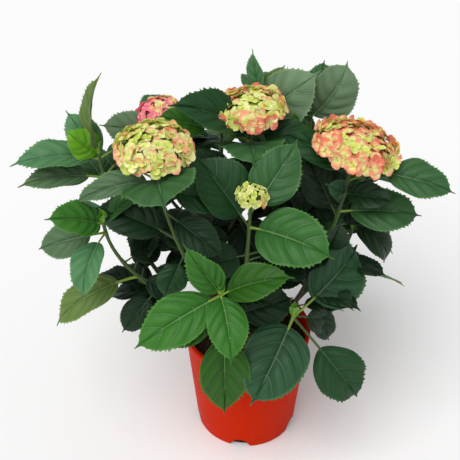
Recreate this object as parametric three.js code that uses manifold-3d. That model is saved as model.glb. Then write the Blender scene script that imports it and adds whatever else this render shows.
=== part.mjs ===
// A hydrangea shrub in a moulded plastic pot. Millimetres, +Z up.
// The origin is the centre of the pot's flat underside, and the side it is best seen from is -Y.
// The pot and its root ball stand below. Five canes rise from a flared stump, fork into one stem
// a shoot, and every shoot carries one mass of leaves. Five of the shoots end in a flower head.
import * as THREE from 'three';
import { mergeVertices } from 'three/addons/utils/BufferGeometryUtils.js';
import Module from 'manifold-3d';

const wasm = await Module();
wasm.setup();

// ---- driving dimensions -------------------------------------------------------------------
const gap = 0.35; // air left between two pieces that touch

const pot = {
  height: 180,
  baseRadius: 77,
  bodyRadius: 91.5, // just under the collar
  collarRadius: 94,
  collarHeight: 12,
  collarSlope: 3, // below the collar, where it runs out of the wall
  lip: 3, // round of the collar's top edge
  heel: 3, // round of the bottom edge
  wall: 2.4,
  floor: 3,
  floorRound: 2,
  segments: 32,
  notches: 5,
  notchWidth: 32,
  notchHeight: 16,
  notchStart: 11, // inside the bottom edge
  notchDepth: 24,
  firstNotch: -98, // degrees round the pot
};

const soil = {
  top: 158,
  slack: 1, // between the root ball and the wall
  chamfer: 4,
  mound: 3,
  moundAt: 0.55, // share of the way out to the wall
  dip: 6, // from the mound's inner slope to the stump
  segments: 20,
};

const stump = {
  footRadius: 25,
  neckRadius: 15,
  height: 26,
  flareTop: 0.85, // share of the height where the flare ends
  flareSteps: 5,
  topRadius: 9,
  sides: 12,
  caneInset: 0.72, // where the canes are rooted: share of the neck's radius
  caneHeight: 0.55, // and share of the height
};

// The pot and its plant as one lump, kept clear of hanging leaves.
const lump = { clear: 1.5, skirt: 3, lap: 2 };

// A cane runs from the stump to a fork. azimuth is where it leaves the stump, in degrees.
const caneSize = { footRadius: 6.2, endRadius: 4.8, sides: 6, steps: 4 };
const caneBend = { footRise: 60, footPull: 0.4, forkRise: 62, forkPull: 0.3 };
const canes = {
  left: { azimuth: 190, fork: [-88, -28, 240] },
  front: { azimuth: 258, fork: [-25, -58, 240] },
  right: { azimuth: 335, fork: [66, -22, 245] },
  'back-left': { azimuth: 125, fork: [-42, 58, 275] },
  'back-right': { azimuth: 55, fork: [50, 62, 275] },
};

// A shoot runs from its cane's fork to its tip. Its leaves are [along, azimuth, rise, reach]:
// how far up the stem the leaf stands, the way it points, how steeply it rises, and how far
// its tip is from the stem. A shoot with a phase has opposite pairs by rule instead.
const stemSize = { footRadius: 4.2, endRadius: 2.6, sides: 5, steps: 6 };
const stemBend = { lean: 0.3, footOut: 0.08, tipRise: 0.32, tipOut: 0.02 };
const shoots = {
  'left-high': {
    cane: 'left', tip: [-195, 8, 470],
    leaves: [[1, -25, 81, 116], [1, 170, 62, 50], [0.97, -165, 2, 113], [0.97, 18, 8, 85],
      [0.86, -160, 9, 112], [0.86, 60, 0, 105], [0.8, 120, 0, 112], [0.68, -150, -6, 96]],
  },
  'left-low': {
    cane: 'left', tip: [-183, -70, 425],
    leaves: [[1, -147, 25, 82], [1, 33, 25, 60], [0.94, -110, -40, 88], [0.94, 178, -18, 94],
      [0.5, -164, -28, 130], [0.3, -152, -44, 78], [0.5, 12, -35, 62], [0.66, 60, -5, 74]],
  },
  'bloom-left-front': {
    cane: 'front', tip: [-114, -70, 494], head: { across: 94, tall: 60 },
    leaves: [[0.93, -88, 12, 98], [0.93, 95, 12, 84], [0.95, 178, -14, 106], [0.88, 8, -20, 92],
      [0.55, 170, 20, 116], [0.76, -25, -30, 90], [0.5, -150, -60, 66], [0.55, 40, -15, 84]],
  },
  'bloom-left-back': {
    cane: 'back-left', tip: [-116, 70, 474], head: { across: 78, tall: 50 },
    leaves: [[0.93, -159, 22, 95], [0.93, 28, 22, 88], [0.93, -60, 34, 60], [0.86, 105, 16, 112],
      [0.78, 132, 2, 104], [0.7, 60, 0, 116], [0.62, 140, -12, 122], [0.7, -20, 8, 92]],
  },
  'bloom-centre': {
    cane: 'back-left', tip: [2, 40, 498], head: { across: 92, tall: 50 },
    leaves: [[0.93, 174, 25, 116], [0.93, -12, -6, 92], [0.96, 148, 24, 104], [0.9, 75, 20, 112],
      [0.86, -67, 20, 88], [0.7, 20, -5, 110], [0.66, 170, 0, 100]],
  },
  'bloom-small': {
    cane: 'front', tip: [0, -60, 437], head: { across: 43, tall: 28 },
    leaves: [[0.82, 153, 48, 112], [0.93, 36, 40, 106], [0.82, -28, -5, 118], [0.93, 200, 8, 62],
      [0.6, -120, 0, 78], [0.6, 40, -8, 98]],
  },
  'bloom-right': {
    cane: 'right', tip: [130, 0, 466], head: { across: 118, tall: 56 },
    leaves: [[0.94, -17, -6, 136], [0.94, 160, 20, 98], [0.86, 3, 0, 80], [0.74, 20, 28, 74],
      [0.62, 2, 8, 114], [0.62, 150, 58, 98], [0.76, -140, 42, 52], [0.9, 92, 12, 112],
      [0.62, 75, -8, 112], [0.5, -130, 20, 84]],
  },
  'top-right': {
    cane: 'back-right', tip: [85, 95, 478],
    leaves: [[1, -17, 59, 102], [1, 158, 60, 62], [1, 70, 45, 84], [0.92, 85, 10, 112],
      [0.95, -125, 22, 64], [0.84, 130, 8, 112], [0.8, 0, 0, 116]],
  },
  'top-back': {
    cane: 'back-right', tip: [16, 112, 500],
    leaves: [[1, 175, 74, 62], [1, 20, 50, 54], [0.94, 92, 22, 100], [0.9, 166, 12, 108],
      [0.88, -14, 42, 112], [0.82, 55, 0, 118], [0.76, 120, -5, 116]],
  },
  'front-low': {
    cane: 'front', tip: [-38, -110, 333],
    leaves: [[0.98, -162, -27, 130], [1, 154, 56, 78], [1, -78, -44, 90], [0.98, -13, 15, 100],
      [0.85, -84, -80, 168], [0.8, -150, -40, 88]],
  },
  'front-right-low': {
    cane: 'right', tip: [60, -72, 262],
    leaves: [[1, -127, -42, 134], [0.95, -20, -50, 155], [1, 46, 20, 146], [0.9, 24, -44, 96]],
  },
  'right-low': {
    cane: 'right', tip: [146, 30, 338],
    leaves: [[0.94, 160, 12, 84], [1, -12, -48, 74], [0.8, -8, -28, 114], [1, 100, 18, 112],
      [0.8, 70, -14, 122], [0.7, -110, -36, 82]],
  },
  'right-back': { cane: 'back-right', tip: [158, 118, 372], phase: 60 },
  'back-right': { cane: 'back-right', tip: [78, 140, 392], phase: 75 },
  'back-centre': { cane: 'back-left', tip: [-38, 146, 425], phase: 100 },
  'back-left': { cane: 'back-left', tip: [-148, 132, 400], phase: 150 },
};

// Opposite pairs of a shoot with a phase, from the tip down; each pair stands a quarter turn on.
const pairs = [
  { along: 1, rise: 42, reach: 72 },
  { along: 0.9, rise: 16, reach: 108 },
  { along: 0.76, rise: -6, reach: 122 },
  { along: 0.6, rise: -24, reach: 112 },
];

const leaf = {
  halfWidth: 34,
  fullReach: 110, // a shorter leaf is narrower in proportion
  middle: 0.42, // share of the reach
  rows: [[0.45, 0.9], [0.62, 1], [0.8, 0.65]], // share of the reach, share of the half-width
};

const mass = {
  detail: 5, // divisions of the octahedron
  core: 40, // least half-thickness round the shoot's middle
  lobeAngle: 25, // degrees that a lobe spreads beyond its leaf
  lobeFall: 0.62, // share of its length that a lobe loses at its rim
  stemClear: 1, // round the end of the mass's own stem
};

const bloom = {
  middle: 0.42, // height of the widest ring, as a share of the head's
  crown: 0.58,
  underside: 0.72, // the underside is flatter
  bump: 0.03,
  bumpTurns: [9, 7],
  largeAcross: 60, // a head wider than this is divided more finely
  largeDetail: 2,
  smallDetail: 1,
};

const finish = {
  pot: { color: 0xcf3316, roughness: 0.45 },
  soil: { color: 0x3c2a20, roughness: 0.95 },
  stump: { color: 0x6e5a3e, roughness: 0.9 },
  cane: { color: 0x6e5a3e, roughness: 0.85 },
  stem: { color: 0x6f8a45, roughness: 0.7 },
  leaves: { color: 0x2f5d34, roughness: 0.55 },
  bloom: { color: 0xd98f7c, roughness: 0.6 },
};

// ---- small helpers ------------------------------------------------------------------------
const radians = THREE.MathUtils.degToRad;
const up = new THREE.Vector3(0, 0, 1);

function heading(azimuth, rise) {
  const a = radians(azimuth);
  const r = radians(rise);
  return new THREE.Vector3(Math.cos(a) * Math.cos(r), Math.sin(a) * Math.cos(r), Math.sin(r));
}

function weld(geometry) {
  const bare = geometry.clone();
  bare.deleteAttribute('normal');
  bare.deleteAttribute('uv');
  return mergeVertices(bare, 1e-3);
}

function toSolid(geometry) {
  const welded = weld(geometry);
  return new wasm.Manifold(new wasm.Mesh({
    numProp: 3,
    vertProperties: Float32Array.from(welded.attributes.position.array),
    triVerts: Uint32Array.from(welded.index.array),
  }));
}

function toGeometry(solid) {
  const mesh = solid.getMesh();
  const geometry = new THREE.BufferGeometry();
  geometry.setAttribute('position', new THREE.BufferAttribute(mesh.vertProperties, 3));
  geometry.setIndex(new THREE.BufferAttribute(mesh.triVerts, 1));
  return geometry;
}

// The largest body left by a cut.
function largest(solid) {
  const bodies = solid.decompose();
  return bodies.reduce((best, body) => (body.volume() > best.volume() ? body : best));
}

// The body left by a cut that comes closest to a point.
function nearest(solid, point) {
  const distance = (body) => {
    const { min, max } = body.boundingBox();
    const box = new THREE.Box3(new THREE.Vector3(...min), new THREE.Vector3(...max));
    return box.distanceToPoint(point);
  };
  return solid.decompose().reduce((best, body) => (distance(body) < distance(best) ? body : best));
}

// A lathe turns about Y, so its result is stood up along Z.
function turned(profile, segments) {
  const points = profile.map(([radius, height]) => new THREE.Vector2(radius, height));
  return new THREE.LatheGeometry(points, segments).rotateX(Math.PI / 2);
}

// A tapering limb: a closed cylinder bent along a curve.
function limb(curve, size, grow = 0) {
  const { footRadius, endRadius, sides, steps } = size;
  const geometry = new THREE.CylinderGeometry(endRadius + grow, footRadius + grow, 1, sides, steps);
  const frames = curve.computeFrenetFrames(steps);
  const position = geometry.attributes.position;
  for (let i = 0; i < position.count; i++) {
    const t = position.getY(i) + 0.5;
    const step = Math.round(t * steps);
    const point = curve.getPointAt(t)
      .addScaledVector(frames.binormals[step], position.getX(i))
      .addScaledVector(frames.normals[step], position.getZ(i));
    position.setXYZ(i, point.x, point.y, point.z);
  }
  const solid = toSolid(geometry);
  if (solid.volume() > 0) return solid;
  return toSolid(flipped(geometry));
}

function flipped(geometry) {
  const turnedOver = weld(geometry);
  const index = turnedOver.index.array;
  for (let i = 0; i < index.length; i += 3) {
    [index[i], index[i + 1]] = [index[i + 1], index[i]];
  }
  return turnedOver;
}

// ---- pot and root ball --------------------------------------------------------------------
function potSolid() {
  const { height, baseRadius, bodyRadius, collarRadius, collarHeight, wall, floor } = pot;
  const { collarSlope, floorRound, heel, lip } = pot;
  const collarFoot = height - collarHeight;
  const shell = toSolid(turned([
    [0, 0],
    [baseRadius - heel, 0],
    [baseRadius, heel],
    [bodyRadius, collarFoot - collarSlope],
    [collarRadius - lip / 2, collarFoot + collarSlope],
    [collarRadius, height - lip],
    [collarRadius - lip / 2, height],
    [collarRadius - lip - wall, height],
    [collarRadius - lip - wall, height - lip],
    [bodyRadius - wall, collarFoot],
    [baseRadius - wall, floor + floorRound],
    [baseRadius - wall - floorRound, floor],
    [0, floor],
  ], pot.segments));
  const notches = [];
  for (let i = 0; i < pot.notches; i++) {
    notches.push(notchSolid(radians(pot.firstNotch + (360 / pot.notches) * i)));
  }
  return notches.reduce((body, notch) => body.subtract(notch), shell);
}

// A low arch through the pot's bottom edge.
function notchSolid(turn) {
  const { baseRadius, notchWidth, notchHeight, notchStart, notchDepth } = pot;
  const foot = -2; // below the pot, for a clean cut
  const shoulder = notchWidth / 2.6;
  const arch = new THREE.Shape();
  arch.moveTo(-notchWidth / 2, foot);
  arch.lineTo(notchWidth / 2, foot);
  arch.quadraticCurveTo(shoulder, notchHeight, 0, notchHeight);
  arch.quadraticCurveTo(-shoulder, notchHeight, -notchWidth / 2, foot);
  const geometry = new THREE.ExtrudeGeometry(arch, {
    depth: notchDepth,
    bevelEnabled: false,
    curveSegments: 2,
  });
  geometry.rotateX(Math.PI / 2);
  geometry.rotateZ(Math.PI / 2);
  geometry.translate(baseRadius - notchStart, 0, 0);
  geometry.rotateZ(turn);
  return toSolid(geometry);
}

// The root ball's radius at a height.
function rootBallRadius(z) {
  const { height, baseRadius, bodyRadius, collarHeight, wall, floor, floorRound } = pot;
  const slope = (bodyRadius - baseRadius) / (height - collarHeight);
  return baseRadius - wall - gap - soil.slack + slope * Math.max(0, z - floor - floorRound);
}

function rootBallSolid() {
  const { top, chamfer, mound, moundAt, dip, segments } = soil;
  const bottom = pot.floor + gap;
  return toSolid(turned([
    [0, bottom],
    [rootBallRadius(0) - chamfer, bottom],
    [rootBallRadius(0), bottom + chamfer],
    [rootBallRadius(top), top - chamfer],
    [rootBallRadius(top) - chamfer, top],
    [rootBallRadius(top) * moundAt, top + mound],
    [stump.footRadius + dip, top],
    [0, top],
  ], segments));
}

function potLump() {
  const { height, baseRadius, bodyRadius, collarRadius, collarHeight } = pot;
  const { clear, skirt, lap } = lump;
  const collarFoot = height - collarHeight;
  return toSolid(turned([
    [0, -1],
    [baseRadius + clear, -1],
    [bodyRadius + clear, collarFoot - skirt],
    [collarRadius + clear, collarFoot + lap],
    [collarRadius + clear, height + clear],
    [0, height + clear],
  ], pot.segments));
}

// ---- stump, canes and stems ---------------------------------------------------------------
function stumpSolid() {
  const { footRadius, neckRadius, height, flareTop, flareSteps, topRadius, sides } = stump;
  const foot = soil.top + gap;
  const profile = [[0, foot]];
  for (let i = 0; i <= flareSteps; i++) {
    const t = i / flareSteps;
    const radius = neckRadius + (footRadius - neckRadius) * (1 - t) ** 2;
    profile.push([radius, foot + height * t * flareTop]);
  }
  profile.push([topRadius, foot + height], [0, foot + height]);
  return toSolid(turned(profile, sides));
}

function caneCurve(cane) {
  const { footRise, footPull, forkRise, forkPull } = caneBend;
  const foot = heading(cane.azimuth, 0).multiplyScalar(stump.neckRadius * stump.caneInset);
  foot.z = soil.top + stump.height * stump.caneHeight;
  const fork = new THREE.Vector3(...cane.fork);
  const length = foot.distanceTo(fork);
  const first = foot.clone().addScaledVector(heading(cane.azimuth, footRise), length * footPull);
  const second = fork.clone().addScaledVector(heading(cane.azimuth, forkRise), -length * forkPull);
  return new THREE.CubicBezierCurve3(foot, first, second, fork);
}

function stemCurve(shoot) {
  const { lean, footOut, tipRise, tipOut } = stemBend;
  const fork = new THREE.Vector3(...canes[shoot.cane].fork);
  const tip = new THREE.Vector3(...shoot.tip);
  const across = tip.clone().sub(fork);
  const length = across.length();
  const outward = across.clone().setZ(0).normalize();
  const first = fork.clone().addScaledVector(across, lean).addScaledVector(outward, length * footOut);
  const second = tip.clone().addScaledVector(up, -length * tipRise)
    .addScaledVector(outward, -length * tipOut);
  return new THREE.CubicBezierCurve3(fork, first, second, tip);
}

// ---- leaves as lobes of a mass ------------------------------------------------------------
function leafTable(shoot) {
  if (shoot.leaves) return shoot.leaves;
  const table = [];
  pairs.forEach((pair, k) => {
    for (const side of [0, 180]) {
      table.push([pair.along, shoot.phase + 90 * k + side, pair.rise, pair.reach]);
    }
  });
  return table;
}

// Points of one leaf: its tip, its middle, and rows across the blade.
function leafPoints(curve, [along, azimuth, rise, reach]) {
  const node = curve.getPointAt(along);
  const direction = heading(azimuth, rise);
  const across = direction.clone().cross(up).normalize();
  const halfWidth = leaf.halfWidth * Math.min(1, reach / leaf.fullReach);
  const blade = [];
  for (const [share, width] of leaf.rows) {
    for (const side of [-1, 0, 1]) {
      blade.push(node.clone().addScaledVector(direction, reach * share)
        .addScaledVector(across, side * halfWidth * width));
    }
  }
  return {
    tip: node.clone().addScaledVector(direction, reach),
    middle: node.clone().addScaledVector(direction, reach * leaf.middle),
    blade,
  };
}

const curves = {};
const foliage = {};
for (const [name, shoot] of Object.entries(shoots)) {
  const curve = stemCurve(shoot);
  const leaves = leafTable(shoot).map((row) => leafPoints(curve, row));
  const centre = new THREE.Vector3();
  leaves.forEach(({ middle }) => centre.add(middle));
  centre.divideScalar(leaves.length);
  curves[name] = curve;
  foliage[name] = { leaves, centre };
}

// Each mass is a ball pushed out to the leaf points on its own side of the planes that stand
// halfway between neighbours, so two masses never meet.
function massGeometry(name) {
  const { centre } = foliage[name];
  const others = Object.entries(foliage).filter(([other]) => other !== name);
  const walls = others.map(([, other]) => {
    const normal = other.centre.clone().sub(centre);
    const distance = normal.length() / 2 - gap;
    return { normal: normal.normalize(), distance };
  });
  const inCell = (offset) => walls.every((wall) => offset.dot(wall.normal) < wall.distance);
  const spread = radians(mass.lobeAngle);
  const tips = [];
  const lobes = [];
  for (const { leaves } of Object.values(foliage)) {
    for (const { tip, blade } of leaves) {
      for (const point of blade) {
        const offset = point.clone().sub(centre);
        if (inCell(offset)) lobes.push({ length: offset.length(), direction: offset.normalize() });
      }
      const offset = tip.clone().sub(centre);
      if (inCell(offset)) tips.push({ length: offset.length(), direction: offset.normalize() });
    }
  }
  const wallReach = (direction) => walls.reduce((least, wall) => {
    const facing = direction.dot(wall.normal);
    return facing > 1e-6 ? Math.min(least, wall.distance / facing) : least;
  }, Infinity);
  const reachAt = (direction) => {
    let reach = mass.core;
    for (const lobe of lobes) {
      const angle = lobe.direction.angleTo(direction);
      const share = 1 - mass.lobeFall * (angle / spread) ** 2;
      if (angle < spread) reach = Math.max(reach, lobe.length * share);
    }
    return Math.min(reach, wallReach(direction));
  };
  const ball = weld(new THREE.OctahedronGeometry(1, mass.detail));
  const position = ball.attributes.position;
  const directions = [];
  for (let i = 0; i < position.count; i++) {
    directions.push(new THREE.Vector3().fromBufferAttribute(position, i).normalize());
  }
  const taken = new Map();
  tips.sort((a, b) => b.length - a.length);
  for (const tip of tips) {
    let best = -1;
    directions.forEach((direction, i) => {
      if (taken.has(i)) return;
      if (best < 0 || direction.angleTo(tip.direction) < directions[best].angleTo(tip.direction)) best = i;
    });
    if (directions[best].angleTo(tip.direction) < spread) taken.set(best, tip);
  }
  directions.forEach((direction, i) => {
    const tip = taken.get(i);
    const aim = tip ? tip.direction : direction;
    const reach = tip ? Math.min(tip.length, wallReach(aim)) : reachAt(direction);
    position.setXYZ(i, centre.x + aim.x * reach, centre.y + aim.y * reach, centre.z + aim.z * reach);
  });
  return ball;
}

// The same mass a little larger all round, to cut a clear end on its own stem.
function grownMass(geometry, centre) {
  const grown = geometry.clone();
  const position = grown.attributes.position;
  const point = new THREE.Vector3();
  for (let i = 0; i < position.count; i++) {
    point.fromBufferAttribute(position, i).sub(centre);
    point.setLength(point.length() + mass.stemClear).add(centre);
    position.setXYZ(i, point.x, point.y, point.z);
  }
  return toSolid(grown);
}

// ---- flower heads -------------------------------------------------------------------------
function headSolid(shoot, grow = 0) {
  const { across, tall } = shoot.head;
  const { middle, crown, underside, bump, bumpTurns, largeAcross, largeDetail, smallDetail } = bloom;
  const detail = across > largeAcross ? largeDetail : smallDetail;
  const ball = weld(new THREE.IcosahedronGeometry(1, detail));
  const position = ball.attributes.position;
  const [x, y, z] = shoot.tip;
  const foot = z + gap;
  for (let i = 0; i < position.count; i++) {
    const [east, north, rise] = [position.getX(i), position.getY(i), position.getZ(i)];
    const dome = rise < 0 ? rise * underside : rise;
    const swell = 1 + bump * Math.sin(bumpTurns[0] * east + bumpTurns[1] * north);
    const radius = (across / 2 + grow) * swell;
    position.setXYZ(
      i,
      x + east * radius,
      y + north * radius,
      foot + (middle + dome * crown) * tall + dome * grow,
    );
  }
  return toSolid(ball);
}

// ---- assembly -----------------------------------------------------------------------------
const group = new THREE.Group();

function addPart(name, solid, look) {
  const material = new THREE.MeshStandardMaterial({ ...look, metalness: 0 });
  const mesh = new THREE.Mesh(toGeometry(solid), material);
  mesh.name = name;
  group.add(mesh);
}

addPart('pot', potSolid(), finish.pot);
addPart('root-ball', rootBallSolid(), finish.soil);

const stumpBody = stumpSolid();
addPart('stump', stumpBody, finish.stump);

// Limbs are laid down in order, and each is cut clear of those before it.
const cutters = [stumpBody.add(limb(new THREE.LineCurve3(
  new THREE.Vector3(0, 0, soil.top),
  new THREE.Vector3(0, 0, soil.top + stump.height + gap),
), { footRadius: stump.neckRadius, endRadius: stump.neckRadius, sides: stump.sides, steps: 1 }, gap))];
const stalks = {};
const layLimb = (curve, size) => {
  const body = cutters.reduce((left, cutter) => left.subtract(cutter), limb(curve, size));
  cutters.push(limb(curve, size, gap));
  return body;
};
for (const [name, cane] of Object.entries(canes)) {
  const curve = caneCurve(cane);
  addPart(`cane-${name}`, nearest(layLimb(curve, caneSize), curve.getPointAt(0.9)), finish.cane);
}
for (const name of Object.keys(shoots)) {
  stalks[name] = nearest(layLimb(curves[name], stemSize), curves[name].getPointAt(0.6));
}

const heads = {};
for (const [name, shoot] of Object.entries(shoots)) {
  if (shoot.head) heads[name] = headSolid(shoot);
}

const names = Object.keys(shoots);
const limbCutters = cutters.slice(1);
const potClear = potLump();
for (const [index, name] of names.entries()) {
  const shoot = shoots[name];
  const geometry = massGeometry(name);
  const whole = toSolid(geometry);
  let leaves = whole.subtract(potClear);
  const ownCutter = limbCutters.length - names.length + index;
  limbCutters.forEach((cutter, i) => {
    if (i !== ownCutter || shoot.head) leaves = leaves.subtract(cutter);
  });
  for (const [other, head] of Object.entries(heads)) {
    leaves = leaves.subtract(headSolid(shoots[other], gap));
    if (other === name) addPart(`flower-head-${name.replace('bloom-', '')}`, head, finish.bloom);
  }
  addPart(`leaves-${name}`, largest(leaves.simplify(gap / 2)), finish.leaves);
  let stalk = stalks[name];
  if (!shoot.head) {
    stalk = nearest(stalk.subtract(grownMass(geometry, foliage[name].centre)), curves[name].getPointAt(0.1));
  }
  addPart(`stem-${name}`, stalk, finish.stem);
}

export default group;
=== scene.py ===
import math

import bmesh
import bpy
import numpy as np
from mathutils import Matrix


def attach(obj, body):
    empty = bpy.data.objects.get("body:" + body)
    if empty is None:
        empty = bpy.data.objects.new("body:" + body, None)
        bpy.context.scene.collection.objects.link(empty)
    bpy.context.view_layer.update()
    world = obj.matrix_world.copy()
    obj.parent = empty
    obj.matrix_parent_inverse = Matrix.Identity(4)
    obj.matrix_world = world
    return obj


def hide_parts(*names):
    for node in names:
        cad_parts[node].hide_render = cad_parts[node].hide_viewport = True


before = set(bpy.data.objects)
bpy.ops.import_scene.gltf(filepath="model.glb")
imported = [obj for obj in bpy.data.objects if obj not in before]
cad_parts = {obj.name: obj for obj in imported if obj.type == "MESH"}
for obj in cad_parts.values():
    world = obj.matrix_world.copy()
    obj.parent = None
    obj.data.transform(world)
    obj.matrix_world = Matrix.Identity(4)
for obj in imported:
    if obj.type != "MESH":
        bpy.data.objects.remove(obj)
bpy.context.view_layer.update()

# A hydrangea in a moulded plastic pot. Shapes are worked out in millimetres and settled in metres.
millimetre = 0.001
print("frame loaded")


def addObject(name, data):
    thing = bpy.data.objects.new(name, data)
    bpy.context.scene.collection.objects.link(thing)
    return thing


# camera: looks down on the shrub from its front, where the blooms show best
camera = {"place": (-0.026, -0.850, 0.950), "pitchDown": 35.0, "lens": 59.6, "sensor": 36.0}

cameraData = bpy.data.cameras.new("camera")
cameraData.lens = camera["lens"]
cameraData.sensor_width = camera["sensor"]
cameraObject = addObject("camera", cameraData)
cameraObject.location = camera["place"]
cameraObject.rotation_euler = (math.radians(90 - camera["pitchDown"]), 0, 0)
bpy.context.scene.camera = cameraObject


# colours and materials
def channels(hexColour):
    return [int(hexColour[i:i + 2], 16) / 255 for i in (1, 3, 5)]


def linear(hexColour):
    toned = [c / 12.92 if c <= 0.04045 else ((c + 0.055) / 1.055) ** 2.4 for c in channels(hexColour)]
    return toned + [1.0]


def between(first, second, share):
    mixed = [a + (b - a) * share for a, b in zip(channels(first), channels(second))]
    return "#" + "".join(f"{round(255 * c):02x}" for c in mixed)


def addNode(tree, kind, settings, links=()):
    node = tree.nodes.new(kind)
    for name, value in settings.items():
        if name in node.inputs:
            node.inputs[name].default_value = value
        else:
            setattr(node, name, value)
    for socket, source in links:
        tree.links.new(source, node.inputs[socket])
    return node


# A surface of one plain colour. Its gloss drifts in patches, and it has a fine relief of grain or cells.
def makeSurface(name, colour, look):
    material = bpy.data.materials.new(name)
    material.use_nodes = True
    material.diffuse_color = linear(colour)
    tree = material.node_tree
    tree.nodes.clear()
    where = addNode(tree, "ShaderNodeTexCoord", {}).outputs["Object"]
    patches = addNode(tree, "ShaderNodeTexNoise",
                      {"Scale": 1 / (look["patch"] * millimetre), "Detail": 3.0},
                      [("Vector", where)])
    gloss = addNode(tree, "ShaderNodeMapRange",
                    {"From Min": 0.3, "From Max": 0.7,  # the noise seldom leaves this range
                     "To Min": look["roughness"][0], "To Max": look["roughness"][1]},
                    [("Value", patches.outputs["Fac"])])
    fineScale = 1 / (look["grain"] * millimetre)
    if look.get("cells"):
        fine = addNode(tree, "ShaderNodeTexVoronoi",
                       {"feature": "DISTANCE_TO_EDGE", "Scale": fineScale},
                       [("Vector", where)]).outputs["Distance"]
    else:
        fine = addNode(tree, "ShaderNodeTexNoise", {"Scale": fineScale, "Detail": 6.0, "Roughness": 0.6},
                       [("Vector", where)]).outputs["Fac"]
    relief = addNode(tree, "ShaderNodeBump",
                     {"Strength": look["strength"], "Distance": look["depth"] * millimetre},
                     [("Height", fine)])
    shader = addNode(tree, "ShaderNodeBsdfPrincipled",
                     {"Base Color": linear(colour), "IOR": look["ior"],
                      "Specular IOR Level": look.get("specular", 0.5),
                      "Sheen Weight": look.get("sheen", 0.0),
                      "Subsurface Weight": look.get("lightThrough", 0.0),
                      "Subsurface Radius": (1.0, 0.8, 0.5),  # warm light goes deepest
                      "Subsurface Scale": look.get("lightDepth", 1.0) * millimetre},
                     [("Roughness", gloss.outputs["Result"]), ("Normal", relief.outputs["Normal"])])
    addNode(tree, "ShaderNodeOutputMaterial", {}, [("Surface", shader.outputs["BSDF"])])
    return material


finishes = []
finishNumber = {}


def addFinish(name, colour, look):
    finishNumber[name] = len(finishes)
    finishes.append(makeSurface(name, colour, look))


# Living leaf, waxy skin over a net of small veins: a soft broken gloss that greys the far leaves.
leafSkin = {"roughness": (0.40, 0.56), "patch": 18, "grain": 3.2, "cells": True,  # the net is 1 to 2 mm
            "strength": 0.55, "depth": 0.7, "ior": 1.42, "specular": 0.26}
# The underside is dull and a little downy.
leafBack = {"roughness": (0.62, 0.75), "patch": 14, "grain": 2.2, "cells": True,
            "strength": 0.5, "depth": 0.5, "ior": 1.42, "specular": 0.3, "sheen": 0.08}
# Ribs and stalks are smooth and fleshy, so they catch a thin highlight.
leafRib = {"roughness": (0.42, 0.55), "patch": 8, "grain": 1.5, "strength": 0.2, "depth": 0.2,
           "ior": 1.42}

# deep, dark and shade are darker greens for leaves in and behind the crown; part of their darkness is
# painted shade
leafTones = {
    "fresh": "#316329", "bright": "#336c22", "young": "#5f9a1e", "forest": "#265510", "mid": "#325b31",
    "deep": "#1b401f", "dark": "#173119", "olive": "#5d7639", "sage": "#4a7a4e", "grey": "#4d6a48",
    "silver": "#64805f", "blue": "#274c2f", "shade": "#122614",
}
# what each part of a blade leans to, and how far; the valley tint is painted shade in the creases beside the
# veins, and the crest tint is a painted highlight on the swells between them
leafTints = {"Rib": ("#b4c988", 0.32, leafRib), "Vein": ("#9cbb7c", 0.1, leafRib),
             "ValleyShade": ("#040a04", 0.12, leafSkin), "CrestHighlight": ("#c4d8a8", 0.04, leafSkin),
             "Edge": ("#b9d07c", 0.16, leafSkin), "Back": ("#9db88f", 0.36, leafBack)}
# the tones that carry painted shade: their ribs, edges and other tints lean less far, dimmed by that shade
shadedTones = ("dark", "deep", "shade")
shadedPaleness = 0.5  # how far their ribs and edges lean, beside other leaves'
for tone, colour in leafTones.items():
    addFinish("leafBlade-" + tone, colour, leafSkin)
    for part, (toward, share, skin) in leafTints.items():
        if tone in shadedTones:
            share *= shadedPaleness
        addFinish("leaf" + part + "-" + tone, between(colour, toward, share), skin)

# Green stem wood, smooth and slightly waxed: pale near the leaves and browner low down. The dull stretch of
# stem inside the crown is darker, partly from older wood and partly from painted shade, and the darker stalk
# green for shaded leaves is painted shade.
stemSkin = {"roughness": (0.45, 0.62), "patch": 12, "grain": 2.0, "strength": 0.35, "depth": 0.3,
            "ior": 1.45}
# Bark of two or three years, thin and flaking in lengthwise scales: dull, without any shine.
barkSkin = {"roughness": (0.75, 0.92), "patch": 9, "grain": 2.5, "strength": 0.8, "depth": 0.8, "ior": 1.5}
stemTones = {"petioleLight": "#7f9f3c", "petioleDeep": "#40592a", "stemGreen": "#465f29",
             "stemDullAndShaded": "#3b4a24", "stemBrown": "#4d452b"}
for tone, colour in stemTones.items():
    addFinish(tone, colour, stemSkin)
barkTones = {"barkLight": "#7a6648", "barkDark": "#54432d"}
for tone, colour in barkTones.items():
    addFinish(tone, colour, barkSkin)

# Flower sepals, thin and matt with a satin bloom, soft at the rim.
petalSkin = {"roughness": (0.52, 0.68), "patch": 5, "grain": 0.8, "strength": 0.25, "depth": 0.15,
             "ior": 1.4, "specular": 0.18, "lightThrough": 0.3, "lightDepth": 1.5}
petalTones = {"leek": "#b6c656", "lime": "#d2dc6c", "butter": "#e8ea92", "cream": "#efeca4",
              "blush": "#f2c08c", "salmon": "#f39c7a", "coral": "#ec7a62", "pink": "#fe9ca6",
              "rose": "#fe8198"}
for tone, colour in petalTones.items():
    addFinish("petal-" + tone, colour, petalSkin)
# the small stalks inside a head, and what shows between its florets
coreTones = {"flowerStalk": "#7f9a3e", "flowerCoreGreen": "#a9bd40", "flowerCoreDeep": "#55642a",
             "flowerCoreRose": "#d88a58"}
for tone, colour in coreTones.items():
    addFinish(tone, colour, petalSkin)
print("materials made:", len(finishes))


# paths and meshes
def heading(azimuth, rise):
    a, r = math.radians(azimuth), math.radians(rise)
    return np.array([math.cos(a) * math.cos(r), math.sin(a) * math.cos(r), math.sin(r)])


def unit(vector):
    return vector / np.linalg.norm(vector, axis=-1, keepdims=True)


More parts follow.
